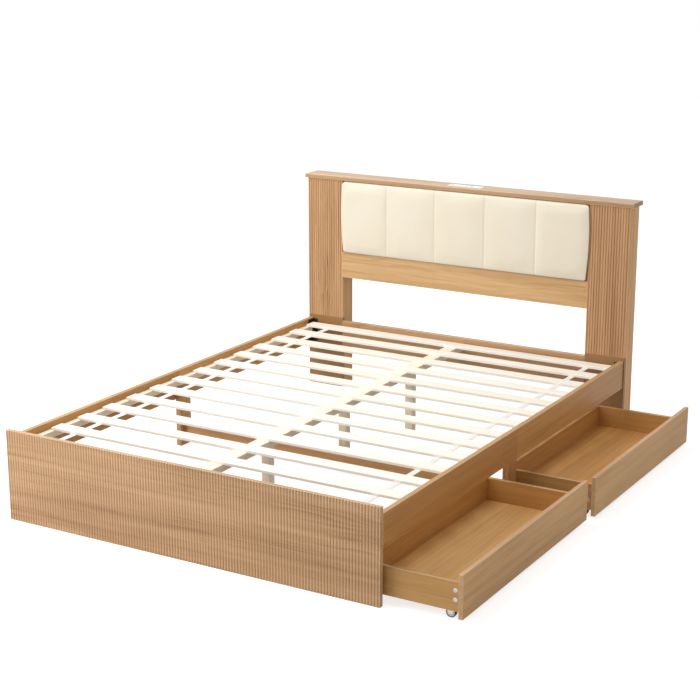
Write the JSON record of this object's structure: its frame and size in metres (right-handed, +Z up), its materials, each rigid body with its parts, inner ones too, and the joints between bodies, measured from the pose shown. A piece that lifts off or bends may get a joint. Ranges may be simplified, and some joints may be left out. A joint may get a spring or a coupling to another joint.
{
  "type": "bed with drawers",
  "caption": "Slatted bed with a fluted foot panel, a channelled padded headboard between fluted columns, and shallow drawers that roll out from one side.",
  "frame": {"origin": "on the floor, under the middle of the centre beam's middle leg", "axes": "+X to the side where the drawers open, +Y to the headboard, +Z up"},
  "size_m": [1.73, 2.024, 0.918],
  "materials": {
    "oak_foot": "satin light oak foil, grain across the bed",
    "oak_column": "satin light oak foil, upright grain",
    "oak_rail": "satin light oak foil, grain along the rail",
    "oak_head": "satin light oak foil, grain across the bed",
    "oak_cap": "satin light oak foil, grain across the bed",
    "oak_drawer": "satin light oak foil, grain along the drawer",
    "drawer_box": "matt oak foil",
    "drawer_floor": "matt oak foil",
    "brown_board": "matt brown board",
    "pine": "planed bare pine",
    "raw_board": "unfinished board",
    "cream_leather": "cream faux leather, soft sheen",
    "webbing": "woven webbing",
    "black_steel": "black powder coat",
    "zinc": "zinc plated",
    "white_plastic": "white moulded plastic",
    "wheel": "black moulded tread, pale disc"
  },
  "bodies": {
    "frame": {"foot_panel": "oak_foot", "mid_crossbar": "brown_board", "head_cross_rail": "oak_head", "centre_beam": "pine", "slats": "pine", "slat_straps": "webbing", "corner_brackets": "black_steel", "bracket_bolts": "zinc", "mid_leg_bolts": "zinc", "top_cap": "oak_cap", "power_insert": "white_plastic", "headboard_lower_rail": "oak_head", "headboard_back_panel": "raw_board", "pad_board": "raw_board", "headboard_pad": "cream_leather", "side_rail_left_foot": "oak_rail", "ledger_left_foot": "pine", "side_rail_left_head": "oak_rail", "ledger_left_head": "pine", "mid_leg_left": "brown_board", "column_left_front": "oak_column", "column_left_inner_side": "oak_column", "column_left_outer_side": "oak_column", "column_left_back": "oak_column", "side_rail_right_foot": "oak_rail", "ledger_right_foot": "pine", "side_rail_right_head": "oak_rail", "ledger_right_head": "pine", "mid_leg_right": "brown_board", "column_right_front": "oak_column", "column_right_inner_side": "oak_column", "column_right_outer_side": "oak_column", "column_right_back": "oak_column", "centre_leg_foot": "pine", "centre_leg_mid": "pine", "centre_leg_head": "pine"},
    "foot_drawer": {"foot_drawer_front": "oak_drawer", "foot_drawer_back": "drawer_box", "foot_drawer_foot_side": "drawer_box", "foot_drawer_head_side": "drawer_box", "foot_drawer_floor": "drawer_floor", "foot_drawer_cam_locks": "zinc", "foot_drawer_caster_forks": "zinc", "foot_drawer_caster_axles": "zinc"},
    "foot_drawer_wheel_1": {"foot_drawer_wheel_1": "wheel"},
    "foot_drawer_wheel_2": {"foot_drawer_wheel_2": "wheel"},
    "foot_drawer_wheel_3": {"foot_drawer_wheel_3": "wheel"},
    "foot_drawer_wheel_4": {"foot_drawer_wheel_4": "wheel"},
    "head_drawer": {"head_drawer_front": "oak_drawer", "head_drawer_back": "drawer_box", "head_drawer_foot_side": "drawer_box", "head_drawer_head_side": "drawer_box", "head_drawer_floor": "drawer_floor", "head_drawer_cam_locks": "zinc", "head_drawer_caster_forks": "zinc", "head_drawer_caster_axles": "zinc"},
    "head_drawer_wheel_1": {"head_drawer_wheel_1": "wheel"},
    "head_drawer_wheel_2": {"head_drawer_wheel_2": "wheel"},
    "head_drawer_wheel_3": {"head_drawer_wheel_3": "wheel"},
    "head_drawer_wheel_4": {"head_drawer_wheel_4": "wheel"}
  },
  "joints": [
    {"name": "foot_drawer_slide", "type": "slide", "parent": "frame", "child": "foot_drawer", "axis": [1, 0, 0], "range_m": [-0.262, 0.11]},
    {"name": "foot_drawer_wheel_1_roll", "type": "hinge", "parent": "foot_drawer", "child": "foot_drawer_wheel_1", "pos_m": [0.93, -0.952, 0.016], "axis": [0, 1, 0], "continuous": true},
    {"name": "foot_drawer_wheel_2_roll", "type": "hinge", "parent": "foot_drawer", "child": "foot_drawer_wheel_2", "pos_m": [0.93, -0.14, 0.016], "axis": [0, 1, 0], "continuous": true},
    {"name": "foot_drawer_wheel_3_roll", "type": "hinge", "parent": "foot_drawer", "child": "foot_drawer_wheel_3", "pos_m": [0.665, -0.952, 0.016], "axis": [0, 1, 0], "continuous": true},
    {"name": "foot_drawer_wheel_4_roll", "type": "hinge", "parent": "foot_drawer", "child": "foot_drawer_wheel_4", "pos_m": [0.665, -0.14, 0.016], "axis": [0, 1, 0], "continuous": true},
    {"name": "head_drawer_slide", "type": "slide", "parent": "frame", "child": "head_drawer", "axis": [1, 0, 0], "range_m": [-0.274, 0.098]},
    {"name": "head_drawer_wheel_1_roll", "type": "hinge", "parent": "head_drawer", "child": "head_drawer_wheel_1", "pos_m": [0.942, 0.018, 0.016], "axis": [0, 1, 0], "continuous": true},
    {"name": "head_drawer_wheel_2_roll", "type": "hinge", "parent": "head_drawer", "child": "head_drawer_wheel_2", "pos_m": [0.942, 0.83, 0.016], "axis": [0, 1, 0], "continuous": true},
    {"name": "head_drawer_wheel_3_roll", "type": "hinge", "parent": "head_drawer", "child": "head_drawer_wheel_3", "pos_m": [0.677, 0.018, 0.016], "axis": [0, 1, 0], "continuous": true},
    {"name": "head_drawer_wheel_4_roll", "type": "hinge", "parent": "head_drawer", "child": "head_drawer_wheel_4", "pos_m": [0.677, 0.83, 0.016], "axis": [0, 1, 0], "continuous": true}
  ],
  "couplings": [
    {"joint": "foot_drawer_wheel_1_roll", "follows": "foot_drawer_slide", "rad_per_m": 62.5},
    {"joint": "foot_drawer_wheel_2_roll", "follows": "foot_drawer_slide", "rad_per_m": 62.5},
    {"joint": "foot_drawer_wheel_3_roll", "follows": "foot_drawer_slide", "rad_per_m": 62.5},
    {"joint": "foot_drawer_wheel_4_roll", "follows": "foot_drawer_slide", "rad_per_m": 62.5},
    {"joint": "head_drawer_wheel_1_roll", "follows": "head_drawer_slide", "rad_per_m": 62.5},
    {"joint": "head_drawer_wheel_2_roll", "follows": "head_drawer_slide", "rad_per_m": 62.5},
    {"joint": "head_drawer_wheel_3_roll", "follows": "head_drawer_slide", "rad_per_m": 62.5},
    {"joint": "head_drawer_wheel_4_roll", "follows": "head_drawer_slide", "rad_per_m": 62.5}
  ]
}
